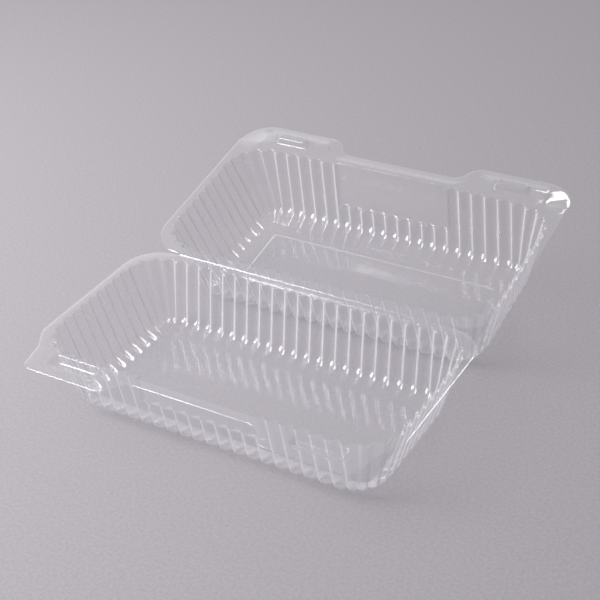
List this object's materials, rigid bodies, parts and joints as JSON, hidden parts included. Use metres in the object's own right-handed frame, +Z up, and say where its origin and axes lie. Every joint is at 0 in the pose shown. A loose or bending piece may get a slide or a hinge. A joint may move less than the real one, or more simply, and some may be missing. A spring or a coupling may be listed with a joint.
{
  "type": "hinged food pack",
  "caption": "Clear thin-walled clamshell food pack lying open: a fluted base tray and a deeper fluted lid joined along a fold, with lock tabs at the free edges.",
  "frame": {"origin": "middle of the underside of the base tray's floor, on the table", "axes": "+X along the fold between the trays, +Y from the base's free edge towards the lid, +Z up"},
  "size_m": [0.236, 0.2698, 0.0705],
  "materials": {
    "base_film": "clear gloss",
    "lid_film": "clear gloss"
  },
  "bodies": {
    "base": {"base_tray": "base_film"},
    "lid": {"lid_tray": "lid_film"}
  },
  "joints": [
    {"name": "lid_fold", "type": "hinge", "parent": "base", "child": "lid", "pos_m": [0, 0.0619, 0.0432], "axis": [1, 0, 0], "range_deg": [-11, 169]}
  ]
}
